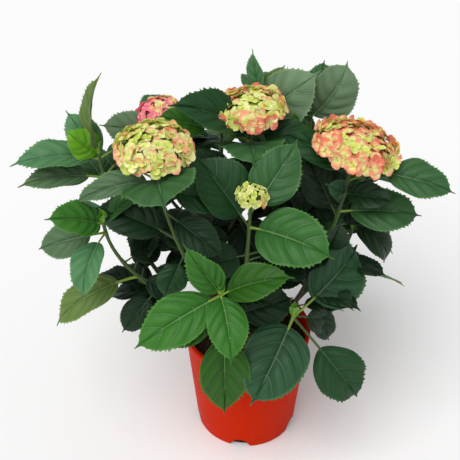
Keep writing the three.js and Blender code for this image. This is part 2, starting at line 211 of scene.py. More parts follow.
def bezier(first, second, third, fourth, count=160):
    t = np.linspace(0, 1, count)[:, None]
    return ((1 - t) ** 3 * first + 3 * (1 - t) ** 2 * t * second
            + 3 * (1 - t) * t ** 2 * third + t ** 3 * fourth)


def fullTurn(count):
    return np.linspace(0, 2 * math.pi, count, endpoint=False)


# a circle of unit radius between two directions
def circle(sides, first, second):
    turn = fullTurn(sides)
    return np.outer(np.cos(turn), first) + np.outer(np.sin(turn), second)


# points at shares of the way along a path
def along(path, shares):
    steps = np.linalg.norm(np.diff(path, axis=0), axis=1)
    run = np.concatenate([[0], np.cumsum(steps)]) / steps.sum()
    return np.stack([np.interp(shares, run, path[:, i]) for i in range(3)], axis=-1)


def newHeap():
    return {"points": [], "faces": [], "finish": [], "rim": [], "count": 0}


def pour(heap, points, faces, finish, rim=None):
    if isinstance(finish, str):
        finish = np.full(len(faces), finishNumber[finish])
    heap["points"].append(points)
    heap["faces"].append(faces + heap["count"])
    heap["finish"].append(finish)
    heap["rim"].append(np.zeros(len(points), bool) if rim is None else rim)
    heap["count"] += len(points)


def settle(name, heap, nodes):
    mesh = bpy.data.meshes.new(name)
    points = np.concatenate(heap["points"]) * millimetre
    corners = np.concatenate([faces.ravel() for faces in heap["faces"]])
    sizes = np.concatenate([np.full(len(faces), faces.shape[1]) for faces in heap["faces"]])
    finish = np.concatenate(heap["finish"])
    rim = np.concatenate(heap["rim"])
    used = np.unique(finish)
    mesh.vertices.add(len(points))
    mesh.loops.add(len(corners))
    mesh.polygons.add(len(sizes))
    mesh.vertices.foreach_set("co", points.ravel())
    mesh.loops.foreach_set("vertex_index", corners)
    mesh.polygons.foreach_set("loop_start", np.concatenate([[0], np.cumsum(sizes)[:-1]]))
    for number in used:
        mesh.materials.append(finishes[number])
    mesh.polygons.foreach_set("material_index", np.searchsorted(used, finish))
    mesh.polygons.foreach_set("use_smooth", np.ones(len(sizes), bool))
    mesh.update(calc_edges=True)
    ends = np.zeros(2 * len(mesh.edges), int)
    mesh.edges.foreach_get("vertices", ends)
    ends = ends.reshape(-1, 2)
    sharp = mesh.attributes.new("sharp_edge", "BOOLEAN", "EDGE")
    sharp.data.foreach_set("value", rim[ends[:, 0]] & rim[ends[:, 1]])
    mesh.validate()
    piece = addObject(name, mesh)
    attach(piece, "root")
    if nodes:
        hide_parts(*nodes)
    triangles = int((sizes - 2).sum())
    print(f"  {name}: {triangles} triangles")
    return piece


# quads between rows of points; a closed row joins its end to its start
def weave(rows, columns, closed=False):
    j, i = np.meshgrid(np.arange(rows - 1), np.arange(columns if closed else columns - 1), indexing="ij")
    j, i = j.ravel(), i.ravel()
    beside = (i + 1) % columns
    return np.stack([j * columns + i, j * columns + beside,
                     (j + 1) * columns + beside, (j + 1) * columns + i], axis=1)


# rings of points, closed by a low cone at both ends
def closedSkin(heap, rings, foot, end, finish):
    rows, sides = len(rings), len(rings[0])
    skin = np.concatenate(rings)
    if isinstance(finish, str):
        finish = np.full((rows - 1, sides), finishNumber[finish])
    points = np.concatenate([skin, [foot, end]])
    pour(heap, points, weave(rows, sides, closed=True), finish.ravel())
    near = np.arange(sides)
    beside = (near + 1) % sides
    last = len(skin) - sides
    caps = np.concatenate([
        np.stack([np.full(sides, len(skin)), beside, near], axis=1),
        np.stack([np.full(sides, len(skin) + 1), last + near, last + beside], axis=1)])
    heap["faces"].append(caps + heap["count"] - len(points))
    heap["finish"].append(np.concatenate([finish[0], finish[-1]]))


# A round limb along a path, its radius given at each point.
def tube(heap, path, radii, sides, finish, ripple=None):
    tangents = unit(np.gradient(path, axis=0))
    across = np.cross(tangents[0], [0.31, 0.17, 0.94])  # any direction that isn't the limb's own
    if np.linalg.norm(across) < 0.1:
        across = np.cross(tangents[0], [1.0, 0.2, 0.0])
    rings = []
    for k, (point, tangent, radius) in enumerate(zip(path, tangents, radii)):
        across = unit(across - tangent * (across @ tangent))
        ring = circle(sides, across, np.cross(tangent, across)) * radius
        if ripple is not None:
            ring = ring * ripple[k][:, None]
        rings.append(point + ring)
    foot = path[0] - tangents[0] * radii[0] * 0.5
    end = path[-1] + tangents[-1] * radii[-1] * 0.8
    closedSkin(heap, rings, foot, end, finish)


# A thin sheet closed round its rim: the inside points of its grid have others beneath them.
def closedSheet(top, under, faces):
    count, wide = top.shape[:2]
    inner = np.zeros((count, wide), bool)
    inner[1:-1, 1:-1] = True
    beneath = np.arange(count * wide).reshape(count, wide)
    beneath[inner] = count * wide + np.arange(inner.sum())
    points = np.concatenate([top.reshape(-1, 3), under[inner]])
    rim = np.concatenate([~inner.ravel(), np.zeros(inner.sum(), bool)])
    return points, np.concatenate([faces, beneath.ravel()[faces][:, ::-1]]), rim


# limbs, as they stand in the part's own design
soilTop = 158.0
stump = {"footRadius": 25.0, "neckRadius": 15.0, "height": 26.0, "sunk": 3.0, "shoulder": 0.85,
         "crown": 0.72, "burl": 0.10, "lumps": 0.03, "rows": 26, "sides": 36}
caneFoot = {"out": 0.72, "up": 0.55}  # where a cane starts inside the stump, as shares of its size
# each cane's azimuth and the fork at its end
canes = {
    "left": (190, (-88, -28, 240)), "front": (258, (-25, -58, 240)), "right": (335, (66, -22, 245)),
    "back-left": (125, (-42, 58, 275)), "back-right": (55, (50, 62, 275)),
}

# One leaf: how far up its stem, azimuth and rise, reach from stem to tip, tone, where its face looks
# (azimuth, rise), and what else sets it apart from growth, below.
def leaf(share, azimuth, rise, reach, tone, faces=(0, 90), **apart):
    return share, azimuth, rise, reach, tone, {"faces": faces, **apart}


# Every shoot stands on a cane's fork and ends at its tip.
shoots = {
    "left-high": {"cane": "left", "tip": (-195, 8, 470), "leaves": [
        leaf(1, -25, 81, 116, "olive", (-150, 4), width=0.17, fold=24, petiole=0.08),
        leaf(1, -168, 44, 54, "young", (-92, 35), width=0.38, petiole=0.04),
        leaf(0.97, -165, 2, 113, "sage", (-90, 68), width=0.23, petiole=0.1, fold=16),
        leaf(0.97, 18, 8, 85, "grey"),
        leaf(0.86, -160, 4, 112, "grey", (-92, 58), fold=20, width=0.22, wave=2.2),
        leaf(0.86, 60, 0, 105, "mid"),
        leaf(0.8, 120, 0, 112, "mid"),
        leaf(0.68, -150, -6, 96, "sage", (-95, 60), width=0.28),
        leaf(0.97, 150, 50, 74, "sage", (-80, 25), petiole=0.06)]},
    "left-low": {"cane": "left", "tip": (-183, -70, 412), "leaves": [
        leaf(1, -147, 25, 82, "bright", (-88, 56), width=0.31, quilt=3.2, petiole=0.1),
        leaf(1, 33, 25, 60, "fresh", petiole=0.1),
        leaf(0.94, -110, -40, 88, "sage", arch=0.16, fold=18),
        leaf(0.94, 178, -18, 94, "grey", (-90, 50)),
        leaf(0.5, -164, -28, 130, "olive", (-118, 62), arch=0.17, width=0.24),
        leaf(0.3, -152, -44, 78, "dark", (-90, 30), width=0.32),
        leaf(0.5, 12, -35, 62, "dark", (-90, 35), width=0.34),
        leaf(0.66, 60, -5, 74, "shade", (-90, 30), width=0.38)]},
    "bloom-left-front": {"cane": "front", "tip": (-114, -70, 494), "leaves": [
        leaf(0.93, -80, 11, 98, "mid", (180, 76), width=0.52, arch=0.14, fold=3, petiole=0.16),
        leaf(0.93, 95, 12, 84, "mid"),
        leaf(0.93, -176, -16, 108, "grey", (-74, 64), width=0.19, fold=20, petiole=0.12),
        leaf(0.88, 8, -20, 92, "deep", (-80, 45)),
        leaf(0.6, 170, 18, 116, "dark", (-88, 56)),
        leaf(0.76, -25, -30, 90, "dark", (-80, 40)),
        leaf(0.5, -150, -60, 66, "deep", (-90, 15), width=0.36),
        leaf(0.55, 40, -15, 84, "dark", (-90, 40))]},
    "bloom-left-back": {"cane": "back-left", "tip": (-116, 70, 474), "leaves": [
        leaf(0.93, -159, 22, 95, "silver", (-92, 42), width=0.33),
        leaf(0.93, 28, 22, 88, "mid"),
        leaf(0.86, 105, 16, 112, "mid"),
        leaf(0.78, 132, 2, 104, "mid"),
        leaf(0.7, 60, 0, 116, "deep"),
        leaf(0.62, 140, -12, 122, "deep"),
        leaf(0.7, -20, 8, 92, "dark", (-90, 40))]},
    "bloom-centre": {"cane": "back-left", "tip": (2, 40, 498), "leaves": [
        leaf(0.93, -160, 27, 126, "deep", (-84, 58), width=0.26, quilt=4.4, fold=16, petiole=0.1),
        leaf(0.93, -12, -6, 92, "deep", (-80, 60)),
        leaf(0.96, 160, 3, 104, "grey", (-100, 60), width=0.2),
        leaf(0.9, 75, 20, 112, "mid"),
        leaf(0.84, -88, 13, 90, "mid", (-90, 86), arch=0.12, width=0.52, fold=5, petiole=0.14),
        leaf(0.88, -171, 20, 130, "forest", (-88, 46), petiole=0.52),
        leaf(0.78, -98, -26, 72, "shade", (-90, 30), width=0.5, petiole=0.1),
        leaf(0.35, -46, -48, 92, "shade", (-80, 20), width=0.48),
        leaf(0.7, 20, -5, 110, "deep", (-80, 55)),
        leaf(0.66, 170, 0, 100, "deep", (-90, 50))]},
    "bloom-small": {"cane": "front", "tip": (0, -60, 437), "leaves": [
        leaf(0.82, 153, 48, 114, "deep", (-70, 34), width=0.4, fold=22),
        leaf(0.93, 38, 47, 110, "mid", (-92, 28), width=0.31, fold=5, petiole=0.14),
        leaf(0.82, -28, -5, 118, "fresh", (-88, 52), width=0.36, petiole=0.12, quilt=3.0, foot=0.6,
             head=0.75),
        leaf(0.6, -152, 4, 80, "dark", (-80, 45), width=0.36),
        leaf(0.6, 40, -8, 98, "dark", (-90, 35))]},
    "bloom-right": {"cane": "right", "tip": (130, 0, 466), "leaves": [
        leaf(0.94, -17, -6, 136, "mid", (-80, 58), width=0.31, petiole=0.36, fold=16),
        leaf(0.94, 160, 20, 98, "deep", (-100, 42), fold=36, width=0.26, petiole=0.06),
        leaf(0.86, 3, 0, 80, "olive", (90, 66), width=0.26),
        leaf(0.78, -30, 6, 70, "dark", (-80, 50), fold=26, petiole=0.1),
        leaf(0.66, -6, 0, 110, "mid", (-88, 52), petiole=0.14),
        leaf(0.62, 150, 58, 98, "shade", (-90, 28), width=0.34),
        leaf(0.76, -140, 42, 52, "blue", (-60, 30), petiole=0.1),
        leaf(0.9, 92, 12, 112, "mid"),
        leaf(0.62, 75, -8, 112, "deep"),
        leaf(0.5, -130, 20, 84, "shade", (-80, 40)),
        leaf(0.4, -75, 60, 92, "dark", (-85, 30))]},
    "top-right": {"cane": "back-right", "tip": (85, 95, 478), "leaves": [
        leaf(1, 22, 56, 90, "silver", (-66, 24), width=0.42, petiole=0.04, foot=0.62, head=0.7, fold=10,
             arch=0.14),
        leaf(1, 158, 60, 62, "grey", (-100, 20), petiole=0.08),
        leaf(1, 70, 45, 84, "mid", (-90, 45)),
        leaf(0.92, 85, 10, 112, "mid"),
        leaf(0.95, -125, 22, 64, "forest", (-80, 45)),
        leaf(0.84, 130, 8, 112, "mid"),
        leaf(0.8, 0, 0, 116, "mid")]},
    "top-back": {"cane": "back-right", "tip": (16, 112, 500), "leaves": [
        leaf(1, 150, 78, 68, "sage", (-140, 4), width=0.24, petiole=0.04, arch=0.02),
        leaf(1, 20, 50, 54, "olive", (-90, 30), fold=34, petiole=0.06),
        leaf(0.94, 92, 2, 100, "mid"),
        leaf(0.9, 166, -2, 108, "mid"),
        leaf(0.88, -25, 45, 118, "silver", (-96, 34), width=0.34, petiole=0.08, fold=6),
        leaf(0.82, 55, 0, 118, "mid"),
        leaf(0.76, 120, -5, 116, "deep")]},
    "front-low": {"cane": "front", "tip": (-38, -110, 333), "leaves": [
        leaf(0.98, -162, -27, 130, "bright", (-84, 44), width=0.265, petiole=0.1),
        leaf(1, -154, 63, 106, "bright", (-80, 12), width=0.2, petiole=0.05, foot=0.75, head=1.05,
             arch=0.03),
        leaf(1, -78, -44, 90, "bright", petiole=0.05, fold=18),
        leaf(0.98, -10, 24, 102, "forest", (-88, 58), width=0.27, petiole=0.12),
        leaf(0.85, -84, -80, 178, "forest", (-90, 12), width=0.25, petiole=0.27, arch=0.05),
        leaf(0.8, -154, -30, 88, "forest", (-84, 35), width=0.26),
        leaf(0.35, 22, 2, 100, "dark", (-80, 35), width=0.36)]},
    "front-right-low": {"cane": "right", "tip": (60, -72, 262), "leaves": [
        leaf(1, -127, -42, 134, "blue", (-76, 38), width=0.37, petiole=0.12, quilt=3.6, foot=0.55, fold=16),
        leaf(0.95, -20, -50, 155, "deep", (-84, 24), width=0.34, petiole=0.34),
        leaf(1, 46, 20, 146, "blue", (-80, 30), width=0.38, petiole=0.24, quilt=3.2),
        leaf(0.6, 44, -30, 98, "dark", (-70, 24), petiole=0.24)]},
    "right-low": {"cane": "right", "tip": (146, 30, 338), "leaves": [
        leaf(0.94, 160, 12, 84, "dark", (-90, 30)),
        leaf(1, -12, -48, 74, "dark", (-40, 55), arch=0.24, petiole=0.08, width=0.4),
        leaf(0.3, 11, -13, 144, "olive", (90, 72), width=0.24, petiole=0.4),
        leaf(1, 100, 18, 112, "mid"),
        leaf(0.8, 70, -14, 122, "mid"),
        leaf(0.2, -17, -68, 98, "dark", (-70, 14), width=0.26, petiole=0.3),
        leaf(0.5, -100, -10, 76, "dark", (-90, 35))]},
    "right-back": {"cane": "back-right", "tip": (158, 118, 372), "phase": 60},
    "back-right": {"cane": "back-right", "tip": (78, 140, 392), "phase": 75},
    "back-centre": {"cane": "back-left", "tip": (-38, 146, 425), "phase": 100},
    "back-left": {"cane": "back-left", "tip": (-148, 132, 400), "phase": 150},
}

# Opposite pairs of a shoot with a phase, from its tip down; each pair stands a quarter turn on.
leafPairs = [(1, 42, 72, "fresh"), (0.9, 16, 108, "mid"), (0.76, -6, 122, "mid"), (0.6, -24, 112, "deep")]

growth = {
    "seed": 7,
    "petiole": 0.2,  # share of a leaf's reach that is stalk
    "width": 0.3,  # half-width as a share of the blade's length
    "fold": 14,  # degrees that each half of a blade lifts
    "arch": 0.1,  # how far a leaf bows, as a share of its reach
    "quilt": 2.6,  # millimetres that the blade swells between two side veins
    "wave": 1.8,  # how high the margins wave, in twentieths of the half-width
    "budRise": 66,  # the two small leaves that fold round a shoot's bud
    "budReach": (20, 30),
    "budLook": {"petiole": 0.05, "fold": 24, "width": 0.28},
}

# a shoot's dark leaves low inside the crown, from its fork up; their dark tones are painted shade
innerLeaves = {
    "count": 6, "few": 2, "fewOn": ("front-low", "front-right-low"), "from": 0.1, "step": 0.09,
    "rise": (-12, 18), "reach": (64, 92), "faceRise": 62, "tones": ("shade", "dark", "shade"),
    "frontLimit": -92,  # past this they would poke through the front leaves
}
stemBend = {"forkAlong": 0.3, "forkOut": 0.08, "tipDown": 0.32, "tipIn": 0.02}  # shares of its length
caneBend = {"footRise": 60, "footPull": 0.4, "forkRise": 62, "forkPull": 0.3}


def canePath(azimuth, fork):
    fork = np.array(fork, float)
    foot = heading(azimuth, 0) * stump["neckRadius"] * caneFoot["out"]
    foot[2] = soilTop + stump["height"] * caneFoot["up"]
    length = np.linalg.norm(fork - foot)
    return bezier(foot, foot + heading(azimuth, caneBend["footRise"]) * length * caneBend["footPull"],
                  fork - heading(azimuth, caneBend["forkRise"]) * length * caneBend["forkPull"], fork)


def stemPath(shoot):
    fork = np.array(canes[shoot["cane"]][1], float)
    tip = np.array(shoot["tip"], float)
    across = tip - fork
    length = np.linalg.norm(across)
    outward = unit(across * [1, 1, 0])
    upward = np.array([0, 0, 1.0])
    return bezier(fork, fork + across * stemBend["forkAlong"] + outward * length * stemBend["forkOut"],
                  tip - upward * length * stemBend["tipDown"] - outward * length * stemBend["tipIn"], tip)


def leavesOf(shoot):
    if "leaves" in shoot:
        return shoot["leaves"]
    rows = []
    for k, (share, rise, reach, tone) in enumerate(leafPairs):
        for side in (0, 180):
            rows.append(leaf(share, shoot["phase"] + 90 * k + side, rise, reach, tone))
    return rows


# A leaf blade is woven of rows that sweep forward along its side veins, so that a vein is a strip of
# faces and every third row is the point of a tooth.
bladeShape = {
    "veins": 7,
    # rows of one vein's sector, with the vein at half
    "rows": (0, 0.14, 0.27, 0.39, 0.47, 0.53, 0.58, 0.76, 0.92),
    "toothRows": (2, 5, 8),
    "sweep": 0.3,  # how far forward a vein meets the margin, as a share of the blade
    "columns": (-1, -0.95, -0.8, -0.62, -0.44, -0.28, -0.13, -0.02,
                0.02, 0.13, 0.28, 0.44, 0.62, 0.8, 0.95, 1),
    "tooth": 0.023,  # of the blade's length
    "toothReach": 0.75,  # how far a tooth stands out and forward, in tooth lengths
    "thick": 0.45,  # millimetres, twice a real blade so that it prints
    "bow": 0.03,  # how far a leaf strays sideways, as a share of its reach
    "startPull": 0.3, "startArch": 1.3, "endPull": 0.28, "endArch": 1.7,  # the handles of its curve
    "forward": (0.8, 0.9, 0.309),  # how the sweep grows from the foot, dies at the tip, and its peak
    "leastForward": 0.12,
    "veinCurve": 1.6,  # above 1, a vein turns towards the tip as it nears the margin
    "foot": (0.62, 0.78), "head": (0.8, 0.95),  # powers of the outline, blunter where smaller
    "body": 0.89,  # the share of the blade before its drawn-out point
    "bodyWidth": 0.93, "pointWidth": 0.12, "pointLength": 0.2,
    "teeth": (0.22, 0.93), "teethEase": (4, 7),  # the toothed stretch, and how fast it starts and ends
    "toothSizes": (0.6, 1.3), "foldStray": 3,
    "groove": 1.1,  # millimetres, down the middle
    "middle": 0.05,  # columns this near the middle are the midrib
    "ribDepth": (0.3, 1.5),  # millimetres below the blade: at the tip, and how much more at the foot
    "veinDepth": 0.35,
    "waves": (1.6, 2.7),  # of the margin, from foot to tip
    "curl": (-0.2, 0.02),  # how far the margins roll back, as a share of the half-width
    "twist": 10,  # degrees, either way
    "fullLength": 95,  # the blade that swells by the whole of its quilt
}
stalkLook = {"radius": 1.5, "clasp": 1.1, "claspLength": 5.0, "fullReach": 110, "sizes": (0.45, 1.15),
             "underBlade": 0.03, "sunk": 0.4, "rows": 9, "sides": 6}
# a blade with fewer rows, for buds and leaves inside the crown
plainBlade = dict(bladeShape, rows=(0, 0.27, 0.47, 0.53, 0.8), toothRows=(1, 4),
                  columns=(-1, -0.6, -0.25, -0.03, 0.03, 0.25, 0.6, 1))


# a blade's rows from foot to tip, where each lies in its vein's sector, and which end in a tooth
def bladeRows(shape):
    veins = range(shape["veins"])
    rows = np.array([(k + phase) / shape["veins"] for k in veins for phase in shape["rows"]] + [1.0])
    phases = np.array(list(shape["rows"]) * shape["veins"] + [0.0])
    toothed = [i in shape["toothRows"] for i in range(len(shape["rows"]))] * shape["veins"]
    return rows, phases, np.array(toothed + [False])


# widest before the middle, then drawn out to a narrow point
def bladeOutline(shape, look, rows, rng):
    body = np.minimum(rows / shape["body"], 1)
    foot = look.get("foot", rng.uniform(*shape["foot"]))
    head = look.get("head", rng.uniform(*shape["head"]))
    peak = foot / (foot + head)
    outline = body ** foot * (1 - body) ** head / (peak ** foot * (1 - peak) ** head)
    point = np.clip((1 - rows) / shape["pointLength"], 0, 1)
    return outline * shape["bodyWidth"] + shape["pointWidth"] * point


# quilted between the veins, grooved down the middle, folded up and waved towards the margin
def bladeRelief(shape, look, rows, fromVein, fade, width, halves, length, rng):
    columns = np.array(shape["columns"])
    share = np.abs(columns)
    swell = look["quilt"] * length / shape["fullLength"]
    lift = swell * (fromVein ** 0.6 * fade)[:, None] * np.sin(math.pi * share ** 0.8)[None, :]
    lift = lift - shape["groove"] * (share < shape["middle"])[None, :] * fade[:, None]
    fold = math.radians(look["fold"] + rng.uniform(-shape["foldStray"], shape["foldStray"]))
    lift = lift + np.abs(width) * math.sin(fold)
    lift = lift + rng.uniform(*shape["curl"]) * halves[:, None] * share[None, :] ** 3
    waveHeight = look["wave"] * 0.05 * length * look["width"]
    for sign in (-1, 1):
        beat = rng.uniform(*shape["waves"])
        ripple = np.sin(2 * math.pi * (beat * rows + rng.uniform(0, 1)))
        onSide = (np.sign(columns) == sign) * share ** 2
        lift = lift + waveHeight * (ripple * fade)[:, None] * onSide[None, :]
    return lift, fold


# shares of the way from a side vein to the next crest, or from the midrib to the margin
bladeBands = {"vein": 0.1, "valleyShade": 0.25, "besideRib": 0.1, "crestHighlight": 0.6, "crestOut": 0.25, "edge": 0.96}


# pale midrib and side veins, painted shade in the valleys beside them and beside the midrib, a painted
# highlight on the crests between, and a pale rim
def bladeFinish(tone, fromVein, share):
    blade, ribs, veins, valleyShade, crestHighlight, edge, back = (
        finishNumber["leaf" + part + "-" + tone]
        for part in ("Blade", "Rib", "Vein", "ValleyShade", "CrestHighlight", "Edge", "Back"))
    wide = len(share) - 1
    isRib = np.broadcast_to(np.arange(wide) == wide // 2, (len(fromVein) - 1, wide))
    isVein = ((fromVein[:-1] < bladeBands["vein"]) & (fromVein[1:] < bladeBands["vein"]))[:, None]
    fromVeinMid = (fromVein[:-1] + fromVein[1:])[:, None] / 2
    fromRib = ((share[:-1] + share[1:]) / 2)[None, :]
    # faces in the valleys and beside the midrib take painted shade, and faces on the crests take a painted
    # highlight
    isShadedValley = (fromVeinMid < bladeBands["valleyShade"]) | (fromRib < bladeBands["besideRib"])
    isLitCrest = (fromVeinMid > bladeBands["crestHighlight"]) & (fromRib > bladeBands["crestOut"])
    above = np.where(isLitCrest, crestHighlight, np.where(isShadedValley, valleyShade, blade))
    above = np.where(fromRib > bladeBands["edge"], edge, np.where(isVein, veins, above))
    above = np.where(isRib, ribs, above).ravel()
    return np.concatenate([above, np.where(isRib.ravel(), ribs, back)])


# a leaf's stalk, swollen where it clasps the stem; a leaf of the shaded tones gets a stalk darkened with
# painted shade
def growStalk(stalks, line, normal, start, reach, tone):
    stretch = np.linspace(0, start + stalkLook["underBlade"] * (1 - start), stalkLook["rows"])
    size = np.clip(reach / stalkLook["fullReach"], *stalkLook["sizes"])
    swollen = stalkLook["clasp"] * np.exp(-stretch * reach / stalkLook["claspLength"])
    radii = size * (stalkLook["radius"] + swollen)
    # stalks of shaded leaves take the darker green, which is painted shade
    colour = "petioleDeep" if tone in shadedTones else "petioleLight"
    tube(stalks, along(line, stretch) - normal * stalkLook["sunk"], radii, stalkLook["sides"], colour)


def growLeaf(blades, stalks, rng, node, azimuth, rise, reach, tone, look, shape=bladeShape):
    look = {**growth, **look}
    chord = heading(azimuth, rise)
    normal = heading(*look.get("faces", (0, 90)))  # a bud's leaves face up
    normal = unit(normal - chord * (normal @ chord))
    side = np.cross(chord, normal)
    arch = look["arch"] * reach
    bow = rng.uniform(-shape["bow"], shape["bow"]) * reach
    end = node + chord * reach
    leaving = chord * reach * shape["startPull"] + normal * arch * shape["startArch"]
    reaching = normal * arch * shape["endArch"] - chord * reach * shape["endPull"]
    line = bezier(node, node + leaving + side * bow, end + reaching + side * bow, end)
    start = look["petiole"]
    length = reach * (1 - start)
    half = length * look["width"]

    # the grid: side veins sweep forward, and teeth stand out at the rim
    rows, phases, toothed = bladeRows(shape)
    columns = np.array(shape["columns"])
    share = np.abs(columns)
    grows, dies, most = shape["forward"]
    forward = rows ** grows * (1 - rows) ** dies / most
    middle = np.maximum(rows - shape["sweep"] * forward, rows * shape["leastForward"])
    place = middle[:, None] + (rows - middle)[:, None] * share[None, :] ** shape["veinCurve"]
    outline = bladeOutline(shape, look, rows, rng)
    (teethFrom, teethTo), (startEase, endEase) = shape["teeth"], shape["teethEase"]
    toothing = np.clip((rows - teethFrom) * startEase, 0, 1) * np.clip((teethTo - rows) * endEase, 0, 1)
    tooth = shape["tooth"] * length * toothed * toothing * rng.uniform(*shape["toothSizes"], len(rows))
    atRim = (share >= 0.999)[None, :] * shape["toothReach"]
    width = columns[None, :] * (half * outline)[:, None] + np.sign(columns)[None, :] * atRim * tooth[:, None]
    place = np.clip(place + atRim * (tooth / length)[:, None], 0, 1)

    fromVein = np.abs(phases - 0.5) * 2
    fade = np.clip(np.sin(math.pi * rows), 0, 1) ** 0.5
    lift, fold = bladeRelief(shape, look, rows, fromVein, fade, width, half * outline, length, rng)
    width = width * math.cos(fold)

    # the grid laid along the leaf's line, with a little twist
    shares = start + (1 - start) * place
    centre = along(line, shares)
    tangent = unit(along(line, np.clip(shares + 0.01, 0, 1)) - along(line, np.clip(shares - 0.01, 0, 1)))
    up = unit(np.cross(side, tangent))
    twist = math.radians(look.get("twist", rng.uniform(-shape["twist"], shape["twist"]))) * place[..., None]
    level = side * np.cos(twist) + up * np.sin(twist)
    up = up * np.cos(twist) - side * np.sin(twist)
    top = centre + level * width[..., None] + up * lift[..., None]

    # the underside, where the midrib and veins stand proud
    slope = np.cross(np.gradient(top, axis=1), np.gradient(top, axis=0))
    slope = slope / np.maximum(np.linalg.norm(slope, axis=-1, keepdims=True), 1e-9)
    atTip, taper = shape["ribDepth"]
    rib = (share < shape["middle"])[None, :] * (taper * (1 - rows) + atTip)[:, None]
    vein = ((fromVein < bladeBands["vein"]) * fade)[:, None] * shape["veinDepth"] * (share < 0.9)[None, :]
    under = top - slope * (shape["thick"] + rib + vein)[..., None]
    points, faces, rim = closedSheet(top, under, weave(len(rows), len(columns)))
    pour(blades, points, faces, bladeFinish(tone, fromVein, share), rim)
    growStalk(stalks, line, normal, start, reach, tone)


# which shoots' leaves are joined in one piece
leafGroups = {
    "leaves-left": ("left-high", "left-low", "bloom-left-front"),
    "leaves-front": ("front-low", "front-right-low", "bloom-small"),
    "leaves-middle": ("bloom-left-back", "bloom-centre"),
    "leaves-right": ("bloom-right", "right-low"),
    "leaves-top": ("top-right", "top-back", "right-back"),
    "leaves-back": ("back-right", "back-centre", "back-left"),
}

rng = np.random.default_rng(growth["seed"])
stems = {name: stemPath(shoot) for name, shoot in shoots.items()}
petioles = newHeap()
for groupName, members in leafGroups.items():
    blades = newHeap()
    for name in members:
        shoot, stem = shoots[name], stems[name]
        for share, azimuth, rise, reach, tone, look in leavesOf(shoot):
            growLeaf(blades, petioles, rng, along(stem, share), azimuth, rise, reach, tone, look)
        if not name.startswith("bloom"):
            spin = rng.uniform(0, 180)
            for side in (0, 180):
                growLeaf(blades, petioles, rng, stem[-1], spin + side, growth["budRise"],
                         rng.uniform(*growth["budReach"]), "young", growth["budLook"], plainBlade)
        for k in range(innerLeaves["few" if name in innerLeaves["fewOn"] else "count"]):
            node = along(stem, innerLeaves["from"] + innerLeaves["step"] * k)
            azimuth = rng.uniform(0, 360)
            reach = rng.uniform(*innerLeaves["reach"])
            if node[1] + heading(azimuth, 0)[1] * reach < innerLeaves["frontLimit"]:
                azimuth += 180
            tone = innerLeaves["tones"][k % len(innerLeaves["tones"])]
            growLeaf(blades, petioles, rng, node, azimuth, rng.uniform(*innerLeaves["rise"]), reach, tone,
                     {"faces": (azimuth + 180, innerLeaves["faceRise"])}, plainBlade)
    settle(groupName, blades, ["leaves-" + name for name in members])
settle("petioles", petioles, [])
print("leaves grown")


# stems and canes; each limb's bands give its finish up to a share of its length
# the band above the brown foot is darker, partly from older wood and partly from painted shade inside the
# crown
stemLook = {"radii": (3.2, 2.1), "roughness": 0.05,
            "bands": ((0.12, "stemBrown"), (0.4, "stemDullAndShaded"), (1, "stemGreen"))}
caneLook = {"radii": (6.2, 4.8), "roughness": 0.14, "bands": ((0.8, "barkDark"), (1, "stemBrown")),
            "nodes": (0.3, 0.55, 0.78, 1.0), "streaked": True}
# what both share: a limb swells by nodeSwell of its radius where leaves leave it
limbLook = {"nodeSwell": 0.24, "nodeLength": 5.0, "sides": 12, "step": 2.6, "fewestRows": 12,
            "ridges": 5, "lumps": 0.35}
bark = {"streakRows": 5, "lightShare": 0.45}


# two tones of bark in streaks a few rows long
def barkStreaks(rows, sides, rng):
    light = rng.random((rows // bark["streakRows"] + 1, sides)) < bark["lightShare"]
    light = np.repeat(light, bark["streakRows"], axis=0)[:rows]
    return np.where(light, finishNumber["barkLight"], finishNumber["barkDark"])


def growLimb(heap, path, nodes, look, rng):
    length = np.linalg.norm(np.diff(path, axis=0), axis=1).sum()
    shares = np.linspace(0, 1, max(limbLook["fewestRows"], int(length / limbLook["step"])))
    first, last = look["radii"]
    radius = first + (last - first) * shares
    for node in nodes:
        swell = np.exp(-((shares - node) * length / limbLook["nodeLength"]) ** 2)
        radius = radius * (1 + limbLook["nodeSwell"] * swell)
    sides = limbLook["sides"]
    turn = fullTurn(sides)
    ripple = np.ones((len(shares), sides))
    height = look["roughness"] / limbLook["ridges"]
    for wave in range(limbLook["ridges"]):  # lengthwise ridges that drift round the limb, and low lumps
        drift = rng.uniform(-3, 3) * shares[:, None]
        ripple = ripple + height * np.sin(turn[None, :] * (2 + wave) + drift + rng.uniform(0, 6))
    ripple = ripple + rng.normal(0, look["roughness"] * limbLook["lumps"], ripple.shape)
    tones = [next(tone for limit, tone in look["bands"] if share < limit) for share in shares[:-1]]
    finish = np.array([[finishNumber[tone]] * sides for tone in tones])
    if look.get("streaked"):
        finish = np.where(finish == finishNumber["barkDark"], barkStreaks(*finish.shape, rng), finish)
    tube(heap, along(path, shares), radius, sides, finish, ripple)


stemHeap = newHeap()
for name, shoot in shoots.items():
    nodes = sorted({row[0] for row in leavesOf(shoot)})
    growLimb(stemHeap, stems[name], nodes, stemLook, rng)
settle("stems", stemHeap, ["stem-" + name for name in shoots])

